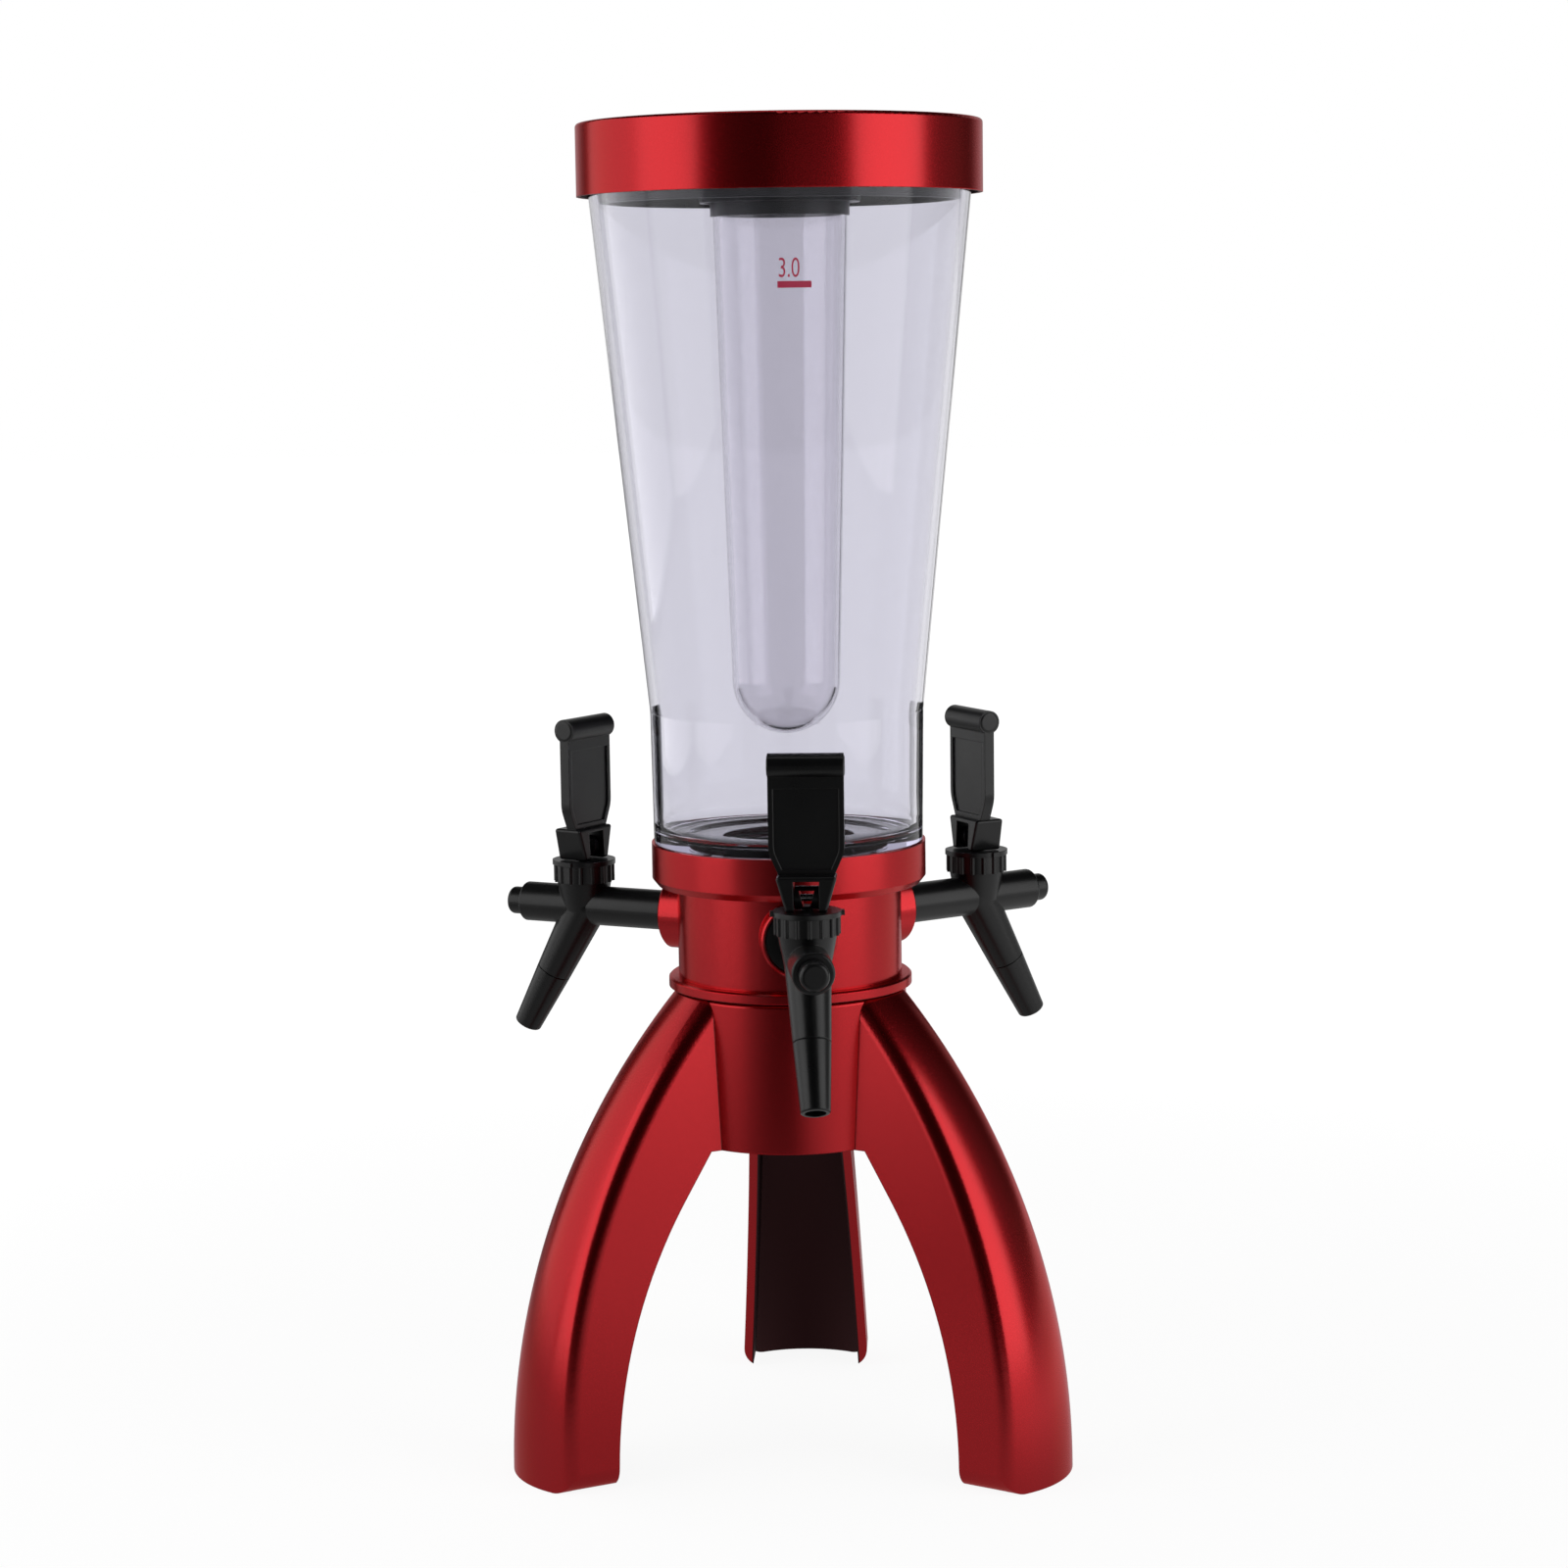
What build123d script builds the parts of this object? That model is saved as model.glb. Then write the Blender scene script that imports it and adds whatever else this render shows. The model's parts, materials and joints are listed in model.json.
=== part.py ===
from build123d import *
import os
from math import acos, asin, atan2, cos, degrees, hypot, radians, sin, sqrt

# A tabletop beer tower: a clear tapered container with an ice tube in its lid stands on a red
# neck with three taps, and the neck turns on a hub that three curved channel legs carry.
# Millimetres, +Z up. The origin is on the floor, on the tower's upright axis. The rear leg
# points along +Y, and the tower stands a little turned on its hub.

# ---- Driving dimensions ---------------------------------------------------------------------
play = 0.3  # gap between pieces that move or are taken apart
running = 0.05  # radial clearance of a pin or shaft in its hole

# hub and legs
hub_radius = 52.7
hub_height = 67.4
hub_top = 212.2  # height of the hub's top above the floor
hub_wall = 3.0
hub_plate = 4.0
hub_edge = 1.6  # rounding of the hub's upper edge
hub_boss_radius = 11.0
hub_boss_depth = 10.0
hub_rib_thickness = 2.6
hub_rib_depth = 14.0
leg_azimuths = {"rear": 90.0, "left": 210.0, "right": 330.0}
foot_reach = 138.2  # from the axis to the crown of a foot
foot_depth = 33.8  # across a foot, from its crown to its open edge
leg_shoulder = 1.8  # a leg's crown stands this far outside the hub at the hub's top
leg_edge_bend = 0.975  # arc of the open edge, as a share of one that runs on to the hub
foot_half_width = 30.8
leg_top_half_width = 19.3
leg_crown_radius = 50.0  # bulge across a leg's outer face
leg_corner = 8.5
leg_head_round = 12.5  # rounding of a leg's top corners
leg_wall = 4.8
leg_pad = 3.0  # plate at a leg's head that lies on the hub
leg_overrun = 2.0  # degrees that a leg's arc runs on before its top is cut level
leg_screw_radius = 2.5
leg_screw_head_radius = 4.5
leg_screw_head = 3.0
leg_screw_depths = (17.0, 46.0)  # below the hub's top

# swivel between hub and neck
tower_turn = 6.7  # degrees that the tower stands turned on the hub
slip_ring_inner = 32.0
slip_ring_margin = 2.6  # the slip ring stays this far inside the hub's edge
slip_ring_thickness = 0.7
pivot_radius = 4.0
pivot_head_radius = 7.5
pivot_head = 5.0
pivot_nut_radius = 7.4
pivot_nut_height = 3.2

# neck
neck_radius = 50.9
neck_wall = 2.5
neck_floor = 4.6
neck_band_radius = 55.4  # foot band of the neck
neck_band_bevel = 0.8
neck_height = 46.8  # from the neck's underside to the collar's underside
neck_flange = 2.8
port_height = 29.2  # tap axis above the neck's underside
port_boss_radius = 16.9
port_boss_reach = 59.8
port_boss_chamfer = 0.8
port_rim = 1.7
port_recess = 3.5
tap_azimuths = {"front": 270.0, "left": 150.0, "right": 30.0}

# collar
collar_radius = 62.2
collar_height = 19.0
collar_wall = 3.0
collar_web = 3.0
collar_skirt_chamfer = 2.4
collar_skirt_rise = 3.0  # height of that chamfer
collar_screw_radius = 1.9
collar_screw_head_radius = 3.2
collar_screw_head = 1.6
collar_screw_count = 6

# reservoir cup and its gasket
cup_wall = 2.5
cup_floor = 2.5
cup_lift = 4.2  # the cup's underside above the neck's floor
cup_rise = 9.2  # neck rim, which carries the cup, above the neck's flange
cup_flange = 2.5
cup_flange_radius = 53.5
cup_pad_radius = 13.5
cup_pad_reach = 42.5
gasket_thickness = 1.5

# container
container_floor = 6.5
container_wall = 3.8
container_base_radius = 61.0
container_knee_radius = 61.8
container_knee = 59.7  # height of the straight stretch above the collar
container_rim_radius = 87.3
container_height = 313.0  # from the collar to the rim
container_floor_fillet = 6.0
container_rim_round = 1.4
container_drain_radius = 30.0
container_step_margin = 4.7  # from the fillet inside the wall in to the step
container_step = 1.2  # the floor's middle lies this much lower
spigot_wall = 4.4

# lid
lid_radius = 90.2
lid_height = 31.8
lid_skirt = 1.8
lid_plate = 3.5
lid_edge = 1.6
lid_seal_thickness = 1.5
plug_flange = 3.0
plug_skirt = 2.2
plug_depth = 28.6  # from the plug's flange down to its lower edge
plug_web = 3.0
plug_web_drop = 17.5  # from the plug's flange down to the top of its web
plug_side_gap = 0.6

# ice tube and its bayonet
tube_radius = 29.9
tube_wall = 2.3
tube_length = 242.7
tube_gap = 2.3  # between the tube's top and the plug's web
tube_tip_radius = 24.3
tube_lip = 1.0
tube_ring_radius = 31.0
tube_ring_height = 11.7  # from the tube's top down to the ring's lower edge
socket_wall = 2.0
lug_count = 3
lug_radius = 33.4
lug_height = 2.5
lug_drop = 1.6  # from the tube's top down to the lugs
lug_half_angle = 9.0
ledge_height = 1.5
ledge_margin = 3.0  # degrees that a ledge reaches past its lug on either side
stop_gap = 0.6  # degrees between a lug and its stop

# taps
tap_reach = 106.8  # from the tower's axis to a tap's upright axis
shank_radius = 9.2
shank_bore = 6.0
shank_end = 33.5  # inner end of the shank, from the tower's axis
tap_flange_radius = 14.6
tap_flange = 1.5
washer_radius = 14.8
washer_thickness = 1.5
shank_nut_radius = 13.2
shank_nut_width = 6.5
nose_length = 31.2
nose_round = 1.2
nose_bore = 5.4
nose_plug_radius = 6.4
nose_plug_length = 7.9
nose_plug_round = 2.0
nose_plug_spigot = 6.0
funnel_radius = 12.7
funnel_height = 11.6  # of the funnel's top above the shank's axis
throat_radius = 9.7
throat_drop = 4.0  # of the funnel's foot below the shank's axis
chamber_radius = 7.4
chamber_drop = 3.0  # of the valve seat below the shank's axis
bore_overlap = 1.0  # how far a bore runs into the chamber that it opens into
outlet_bore = 3.6
outlet_depth = 5.5
bonnet_thread_radius = 11.4
bonnet_thread_height = 6.8
spout_lean = 29.5
spout_offset = 1.0  # the spout's root lies this far nearer the tower than the tap's axis
spout_root_radius = 10.2
spout_seam_radius = 8.3
spout_seam = 37.0
spout_seam_bevel = 0.3
spout_spigot_radius = 6.3
spout_spigot = 6.0
spout_length = 67.9
spout_tip_radius = 6.4
spout_tip_round = 0.9
spout_bore = 4.6
bonnet_lip_radius = 14.7
bonnet_lip = 2.2
bonnet_radius = 13.4
bonnet_rib_radius = 0.9
bonnet_rib_count = 16
bonnet_tab = 2.4
bonnet_tab_width = 3.6
bonnet_seal_thickness = 1.3
valve_plug_radius = 6.4
valve_plug_height = 6.0
valve_pocket = 2.0  # wall above and below the pocket in the valve plug
spring_wire = 0.6
spring_radius = 4.4
spring_turns = 6
stem_radius = 2.5
stem_foot_radius = 4.0
stem_head_radius = 5.0
stem_head_width = 10.4
stem_window_top = 6.6  # width of the window through the stem's head, at its top
stem_window_foot = 3.0
stem_window_reach = 3.4  # above and below the pin's axis

# levers
lever_turn = -7.0  # degrees that a lever stands turned about its stem
lever_pin_radius = 1.5
lever_pin_length = 17.6
lever_pin_height = 5.2  # above the fork's foot
fork_height = 15.0
fork_foot_width = 17.6
fork_foot_depth = 15.8
fork_head_width = 26.4
fork_head_depth = 14.4
fork_slot = 11.0
fork_bridge = 2.0  # between the slot's roof and the fork's head
fork_round = 1.2
paddle_width = 32.4
paddle_foot_width = 24.0
paddle_shoulder = 9.5  # height of the tapered shoulder above the fork
paddle_shoulder_round = 14.0
paddle_height = 42.0
paddle_thickness = 5.0
paddle_recess = 0.8
paddle_border = 2.2
paddle_set_back = 2.0
paddle_blend = 2.0  # hollow rounding where the paddle meets its bar
barrel_radius = 5.4
barrel_overhang = 0.4
barrel_round = 1.8
barrel_sink = 1.0  # the bar's underside lies this far below the paddle's flat part

# ---- Heights and radii that follow ------------------------------------------------------------
hub_bottom = hub_top - hub_height
slip_ring_top = hub_top + slip_ring_thickness
neck_bottom = slip_ring_top + play
neck_floor_top = neck_bottom + neck_floor
neck_inner = neck_radius - neck_wall
collar_bottom = neck_bottom + neck_height
flange_top = collar_bottom + neck_flange
neck_rim = flange_top + cup_rise
collar_top = collar_bottom + collar_height
collar_inner = collar_radius - collar_wall
neck_flange_radius = collar_inner - play
port_z = neck_bottom + port_height
port_hole = shank_radius + play
cup_bottom = neck_floor_top + cup_lift
cup_outer = neck_inner - play
cup_inner = cup_outer - cup_wall
cup_top = neck_rim + cup_flange
floor_bottom = cup_top + gasket_thickness
floor_top = floor_bottom + container_floor
shoulder_z = collar_top + play
spigot_bottom = flange_top + collar_web + play
spigot_radius = collar_inner - play
spigot_inner = spigot_radius - spigot_wall
rim_z = collar_top + container_height
knee_z = collar_top + container_knee
flare = (container_rim_radius - container_knee_radius) / (rim_z - knee_z)
seal_top = rim_z + lid_seal_thickness
plug_top = seal_top + plug_flange
lid_top = plug_top + lid_plate
lid_bottom = lid_top - lid_height
lid_inner = lid_radius - lid_skirt
web_top = seal_top - plug_web_drop
web_bottom = web_top - plug_web
tube_top = web_bottom - tube_gap
lug_top = tube_top - lug_drop
ledge_top = lug_top - lug_height - play
socket_bottom = ledge_top - ledge_height
socket_inner = lug_radius + play
washer_reach = port_boss_reach - port_recess
tap_seat = washer_reach + washer_thickness
seat_z = port_z - chamber_drop
thread_bottom = port_z + funnel_height
thread_top = thread_bottom + bonnet_thread_height
bonnet_under = thread_top + bonnet_seal_thickness
bonnet_top = bonnet_under + bonnet_lip
fork_foot = bonnet_top + play
fork_head = fork_foot + fork_height
pin_z = fork_foot + lever_pin_height
barrel_z = fork_head + paddle_height + barrel_radius - barrel_sink

os.makedirs("parts", exist_ok=True)


def save(name, part):
    """Label a finished piece and write it under its own name."""
    part.label = name
    export_step(part, f"parts/{name}.step")


def about_axis(part, azimuth):
    """Turn a piece built along +X to its azimuth on the tower."""
    return part.rotate(Axis.Z, azimuth)


def turned(outline):
    """A solid of revolution about the upright axis, from radius and height points."""
    with BuildPart() as ring:
        with BuildSketch(Plane.XZ):
            with BuildLine():
                Polyline(*outline, close=True)
            make_face()
        revolve(axis=Axis.Z)
    return ring.part


def band(inner, outer, bottom, top):
    """A plain ring about the upright axis."""
    return turned([(inner, bottom), (outer, bottom), (outer, top), (inner, top)])


def sector(inner, outer, bottom, top, start, end):
    """A part of a plain ring between two azimuths."""
    with BuildPart() as block:
        with BuildSketch(Plane.XZ):
            with Locations(((inner + outer) / 2, (bottom + top) / 2)):
                Rectangle(outer - inner, top - bottom)
        revolve(axis=Axis.Z, revolution_arc=end - start)
    return block.part.rotate(Axis.Z, start)


def radial_plane(reach, height, azimuth=0.0):
    """A plane that faces outward from the tower's axis, where a tap or a screw is drilled."""
    across = (-sin(radians(azimuth)), cos(radians(azimuth)), 0)
    outward = (cos(radians(azimuth)), sin(radians(azimuth)), 0)
    centre = (reach * outward[0], reach * outward[1], height)
    return Plane(origin=centre, x_dir=across, z_dir=outward)


# ---- Hub, legs and swivel ---------------------------------------------------------------------
def build_hub():
    """The ring that the legs are screwed to, with a plate and a pivot boss at its top."""
    under_plate = hub_top - hub_plate
    inner = hub_radius - hub_wall
    boss_bottom = under_plate - hub_boss_depth
    with BuildPart() as hub:
        add(band(inner, hub_radius, hub_bottom, hub_top))
        add(band(pivot_radius + play, hub_radius, under_plate, hub_top))
        add(band(pivot_radius + play, hub_boss_radius, boss_bottom, hub_top))
        fillet(hub.edges().group_by(Axis.Z)[-1].sort_by(SortBy.RADIUS)[-1], hub_edge)
        for azimuth in leg_azimuths.values():
            rib_plane = Plane.XY.offset(under_plate - hub_rib_depth).rotated((0, 0, azimuth + 60))
            with BuildSketch(rib_plane):
                with Locations(((hub_boss_radius + inner) / 2, 0)):
                    Rectangle(inner - hub_boss_radius + hub_wall, hub_rib_thickness)
            extrude(amount=hub_rib_depth)
        for azimuth in leg_azimuths.values():
            for depth in leg_screw_depths:
                with BuildSketch(radial_plane(inner - hub_wall, hub_top - depth, azimuth)):
                    Circle(leg_screw_radius + running)
                extrude(amount=3 * hub_wall, mode=Mode.SUBTRACT)
    save("hub", hub.part)


def leg_front(inset):
    """Front view of a leg, widest at the floor, drawn in by an inset on both sides."""
    lean = (foot_half_width - leg_top_half_width) / hub_top
    side = inset * hypot(1.0, lean)
    with BuildSketch() as front:
        with BuildLine():
            Polyline(
                (side - foot_half_width, 0),
                (foot_half_width - side, 0),
                (leg_top_half_width - side, hub_top),
                (side - leg_top_half_width, hub_top),
                close=True,
            )
        make_face()
    return front.sketch


def leg_bar(inset):
    """A leg's outer form, solid from crown to open edge, drawn in by an inset on every side."""
    drop = foot_reach - hub_radius - leg_shoulder
    outer_arc = (drop**2 + hub_top**2) / (2 * drop)
    centre = foot_reach - outer_arc
    reach = foot_reach - inset
    crown = leg_crown_radius - inset
    lift = degrees(asin(hub_top / (outer_arc - inset))) + leg_overrun
    with BuildPart() as bar:
        with BuildSketch(Plane.XY):
            with Locations((reach - crown, 0)):
                Circle(crown)
                Rectangle(crown, 2 * crown, align=(Align.MAX, Align.CENTER))
        revolve(axis=Axis((centre, 0, 0), (0, -1, 0)), revolution_arc=lift)
        with BuildSketch(Plane.YZ):
            add(leg_front(inset))
        extrude(amount=reach, mode=Mode.INTERSECT)
    return bar.part


def open_edge():
    """A leg's side view outside its open edge, an arc from the foot and a straight to the hub."""
    inner_reach = foot_reach - foot_depth
    drop = inner_reach - hub_radius
    inner_arc = leg_edge_bend * (drop**2 + hub_bottom**2) / (2 * drop)
    centre = inner_reach - inner_arc
    to_hub = hypot(hub_radius - centre, hub_bottom)
    sweep_angle = degrees(atan2(hub_bottom, hub_radius - centre) - acos(inner_arc / to_hub))
    far = foot_reach + leg_wall
    head = [(hub_radius, hub_bottom), (0, hub_bottom), (0, hub_top), (far, hub_top), (far, 0)]
    with BuildPart() as front:
        with BuildSketch(Plane.XZ):
            with BuildLine():
                edge = CenterArc((centre, 0), inner_arc, 0, sweep_angle)
                Polyline(edge @ 1, *head, edge @ 0)
            make_face()
        extrude(amount=foot_half_width, both=True)
    return front.part


def build_leg(name, azimuth):
    """A curved channel leg, open towards the axis, with a pad that lies on the hub."""
    with BuildPart() as leg:
        add(leg_bar(0))
        ridges = leg.edges().filter_by(lambda e: e.length > hub_height)
        ridges = ridges.filter_by(lambda e: e.center().X > foot_reach / 2)
        fillet(ridges, leg_corner)
        with BuildSketch(Plane.YZ) as head:
            add(leg_front(0))
            fillet(head.vertices().filter_by(lambda v: v.Z > hub_height), leg_head_round)
        extrude(amount=foot_reach, mode=Mode.INTERSECT)
        add(open_edge(), mode=Mode.INTERSECT)
        with BuildPart(mode=Mode.PRIVATE) as hollow:
            add(leg_bar(leg_wall))
            with BuildSketch(Plane.XY):
                Circle(hub_radius + leg_pad)
            extrude(amount=hub_top, mode=Mode.SUBTRACT)
        add(hollow.part, mode=Mode.SUBTRACT)
        with BuildSketch(Plane.XY):
            Circle(hub_radius)
        extrude(amount=hub_top, mode=Mode.SUBTRACT)
        for depth in leg_screw_depths:
            with BuildSketch(radial_plane(hub_radius - hub_wall, hub_top - depth)):
                Circle(leg_screw_radius + running)
            extrude(amount=2 * leg_pad + hub_wall, mode=Mode.SUBTRACT)
    save(f"leg_{name}", about_axis(leg.part, azimuth))


def build_leg_screws():
    """Two screws for each leg, driven outward from inside the hub."""
    head_seat = sqrt((hub_radius - hub_wall) ** 2 - leg_screw_head_radius**2)
    screws = []
    for azimuth in leg_azimuths.values():
        for depth in leg_screw_depths:
            with BuildPart() as screw:
                with BuildSketch(radial_plane(head_seat - leg_screw_head, hub_top - depth)):
                    Circle(leg_screw_head_radius)
                extrude(amount=leg_screw_head)
                with BuildSketch(radial_plane(head_seat, hub_top - depth)):
                    Circle(leg_screw_radius)
                extrude(amount=hub_radius + leg_pad - head_seat)
                with BuildSketch(radial_plane(head_seat - leg_screw_head, hub_top - depth)):
                    RegularPolygon(leg_screw_head_radius / 2, 6)
                extrude(amount=leg_screw_head / 2, mode=Mode.SUBTRACT)
            screws.append(about_axis(screw.part, azimuth))
    save("leg_screws", Compound(children=screws))


def build_swivel():
    """Slip ring, pivot bolt and nut, on which the neck turns over the hub."""
    ring = band(slip_ring_inner, hub_radius - slip_ring_margin, hub_top, slip_ring_top)
    save("slip_ring", ring)
    boss_bottom = hub_top - hub_plate - hub_boss_depth
    nut_bottom = neck_floor_top + play
    with BuildPart() as bolt:
        with BuildSketch(Plane.XY.offset(boss_bottom - pivot_head)):
            RegularPolygon(pivot_head_radius, 6)
        extrude(amount=pivot_head)
        with BuildSketch(Plane.XY.offset(boss_bottom)):
            Circle(pivot_radius)
        extrude(amount=nut_bottom + pivot_nut_height - boss_bottom)
    save("pivot_bolt", bolt.part)
    with BuildPart() as nut:
        with BuildSketch(Plane.XY.offset(nut_bottom)):
            RegularPolygon(pivot_nut_radius, 6)
            Circle(pivot_radius + running, mode=Mode.SUBTRACT)
        extrude(amount=pivot_nut_height)
    save("pivot_nut", nut.part)


# ---- Neck, collar and reservoir ---------------------------------------------------------------
def tap_turns():
    """Each tap's name and its azimuth on the tower as it stands."""
    return [(name, azimuth + tower_turn) for name, azimuth in tap_azimuths.items()]


def build_neck():
    """The turning neck: floor, foot band, wall, top flange and three port bosses."""
    outline = [
        (pivot_radius + running, neck_bottom),
        (neck_band_radius, neck_bottom),
        (neck_band_radius, neck_floor_top - neck_band_bevel),
        (neck_band_radius - neck_band_bevel, neck_floor_top),
        (neck_radius, neck_floor_top),
        (neck_radius, collar_bottom),
        (neck_flange_radius, collar_bottom),
        (neck_flange_radius, flange_top),
        (neck_radius, flange_top),
        (neck_radius, neck_rim),
        (neck_inner, neck_rim),
        (neck_inner, neck_floor_top),
        (pivot_radius + running, neck_floor_top),
    ]
    with BuildPart() as neck:
        add(turned(outline))
        for _, azimuth in tap_turns():
            boss = about_axis(port_boss(), azimuth)
            add(boss)
        for _, azimuth in tap_turns():
            add(about_axis(port_cut(), azimuth), mode=Mode.SUBTRACT)
        for angle in screw_angles():
            add(about_axis(collar_screw(running), angle), mode=Mode.SUBTRACT)
    save("neck", neck.part)


def port_boss():
    """A round boss on the neck's wall, on +X, that stays outside the neck's bore."""
    with BuildPart() as boss:
        with BuildSketch(radial_plane(neck_inner / 2, port_z)):
            Circle(port_boss_radius)
        extrude(amount=port_boss_reach - neck_inner / 2)
        chamfer(boss.edges().sort_by(Axis.X)[-1], port_boss_chamfer)
        with BuildSketch(Plane.XY.offset(neck_bottom)):
            Circle((neck_inner + neck_radius) / 2)
        extrude(amount=neck_height, mode=Mode.SUBTRACT)
    return boss.part


def port_cut():
    """The hole through a boss and the recess in its face."""
    with BuildPart() as cut:
        with BuildSketch(radial_plane(neck_inner / 2, port_z)):
            Circle(port_hole)
        extrude(amount=port_boss_reach)
        with BuildSketch(radial_plane(washer_reach, port_z)):
            Circle(port_boss_radius - port_rim)
        extrude(amount=2 * port_recess)
    return cut.part


def screw_angles():
    """Azimuths of the collar's screws, spread between the ports."""
    step = 360 / collar_screw_count
    return [tower_turn + step * i for i in range(collar_screw_count)]


def collar_screw(clearance=0.0):
    """A countersunk screw on +X, through the collar's web into the neck's flange."""
    middle = (neck_radius + collar_inner) / 2
    web_top = flange_top + collar_web
    shaft = collar_screw_radius + clearance
    head = collar_screw_head_radius + clearance
    with BuildPart() as screw:
        with BuildSketch(Plane.XY.offset(collar_bottom)):
            with Locations((middle, 0)):
                Circle(shaft)
        extrude(amount=web_top - collar_bottom)
        with BuildSketch(Plane.XY.offset(web_top - collar_screw_head)):
            with Locations((middle, 0)):
                Circle(shaft)
        with BuildSketch(Plane.XY.offset(web_top)):
            with Locations((middle, 0)):
                Circle(head)
        loft()
    return screw.part


def build_collar():
    """The threaded ring on the neck's flange that the container screws into."""
    web_top = flange_top + collar_web
    outline = [
        (collar_inner, collar_bottom),
        (collar_radius - collar_skirt_chamfer, collar_bottom),
        (collar_radius, collar_bottom + collar_skirt_rise),
        (collar_radius, collar_top),
        (collar_inner, collar_top),
        (collar_inner, web_top),
        (neck_radius + play, web_top),
        (neck_radius + play, flange_top),
        (collar_inner, flange_top),
    ]
    with BuildPart() as collar:
        add(turned(outline))
        for angle in screw_angles():
            add(about_axis(collar_screw(running), angle), mode=Mode.SUBTRACT)
    save("collar", collar.part)
    screws = [about_axis(collar_screw(), angle) for angle in screw_angles()]
    save("collar_screws", Compound(children=screws))


def build_cup():
    """The black cup inside the neck that feeds the three taps, and its gasket."""
    outline = [
        (0, cup_bottom),
        (cup_outer, cup_bottom),
        (cup_outer, neck_rim),
        (cup_flange_radius, neck_rim),
        (cup_flange_radius, cup_top),
        (cup_inner, cup_top),
        (cup_inner, cup_bottom + cup_floor),
        (0, cup_bottom + cup_floor),
    ]
    with BuildPart() as cup:
        add(turned(outline))
        for _, azimuth in tap_turns():
            with BuildPart(mode=Mode.PRIVATE) as pad:
                with BuildSketch(radial_plane(cup_pad_reach, port_z)):
                    Circle(cup_pad_radius)
                extrude(amount=cup_outer)
                with BuildSketch(Plane.XY.offset(neck_bottom)):
                    Circle(cup_outer)
                extrude(amount=2 * neck_height, mode=Mode.INTERSECT)
            add(about_axis(pad.part, azimuth))
        for _, azimuth in tap_turns():
            with BuildSketch(radial_plane(cup_pad_reach - cup_wall, port_z, azimuth)):
                Circle(port_hole)
            extrude(amount=cup_outer, mode=Mode.SUBTRACT)
    save("reservoir_cup", cup.part)
    save("cup_gasket", band(cup_inner, cup_flange_radius, cup_top, floor_bottom))


# ---- Container, lid and ice tube --------------------------------------------------------------
def container_radius(height):
    """Outer radius of the container's flared wall."""
    return container_knee_radius + flare * (height - knee_z)


def build_container():
    """The clear container: spigot, floor with a drain, straight foot and flared wall."""
    low_floor = floor_top - container_step
    floor_radius = container_base_radius - container_wall
    step_radius = floor_radius - container_floor_fillet - container_step_margin
    outline = [
        (container_drain_radius, floor_bottom),
        (spigot_inner, floor_bottom),
        (spigot_inner, spigot_bottom),
        (spigot_radius, spigot_bottom),
        (spigot_radius, shoulder_z),
        (container_base_radius, shoulder_z),
        (container_knee_radius, knee_z),
        (container_rim_radius, rim_z),
        (container_rim_radius - container_wall, rim_z),
        (container_knee_radius - container_wall, knee_z),
        (floor_radius, floor_top),
        (step_radius, floor_top),
        (step_radius - container_step, low_floor),
        (container_drain_radius, low_floor),
    ]
    with BuildPart() as container:
        add(turned(outline))
        circles = container.edges().filter_by(GeomType.CIRCLE)
        corner = circles.filter_by(lambda e: abs(e.center().Z - floor_top) < 0.01)
        fillet(corner.sort_by(SortBy.RADIUS)[-1], container_floor_fillet)
        fillet(container.edges().group_by(Axis.Z)[-1], container_rim_round)
    save("container", container.part)


def build_lid():
    """The red lid, the plug bonded under it and the rubber seal on the plug."""
    under_plate = lid_top - lid_plate
    outline = [
        (0, under_plate),
        (lid_inner, under_plate),
        (lid_inner, lid_bottom),
        (lid_radius, lid_bottom),
        (lid_radius, lid_top),
        (0, lid_top),
    ]
    with BuildPart() as shell:
        add(turned(outline))
        fillet(shell.edges().group_by(Axis.Z)[-1], lid_edge)
    save("lid_shell", shell.part)

    plug_bottom = seal_top - plug_depth
    side_low = container_radius(plug_bottom) - container_wall - plug_side_gap
    side_high = container_radius(seal_top) - container_wall - plug_side_gap
    skirt = [
        (side_low - plug_skirt, plug_bottom),
        (side_low, plug_bottom),
        (side_high, seal_top),
        (lid_inner, seal_top),
        (lid_inner, plug_top),
        (side_high - plug_skirt, plug_top),
    ]
    web_reach = (side_low + side_high) / 2 - plug_skirt / 2
    with BuildPart() as plug:
        add(turned(skirt))
        add(band(0, web_reach, web_bottom, web_top))
        add(band(socket_inner, socket_inner + socket_wall, socket_bottom, web_bottom))
        for lug in range(lug_count):
            middle = tower_turn + 360 / lug_count * lug
            start = middle - lug_half_angle - ledge_margin
            end = middle + lug_half_angle + ledge_margin
            inner = tube_ring_radius + play
            outer = socket_inner + socket_wall / 2
            add(sector(inner, outer, socket_bottom, ledge_top, start, end))
            stop = middle - lug_half_angle - stop_gap
            add(sector(inner, outer, socket_bottom, web_bottom, start, stop))
    save("lid_plug", plug.part)

    with BuildPart() as seal:
        seal_inner = container_rim_radius - container_wall
        add(band(seal_inner, container_rim_radius, rim_z + play, seal_top))
    save("lid_seal", seal.part)


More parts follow.
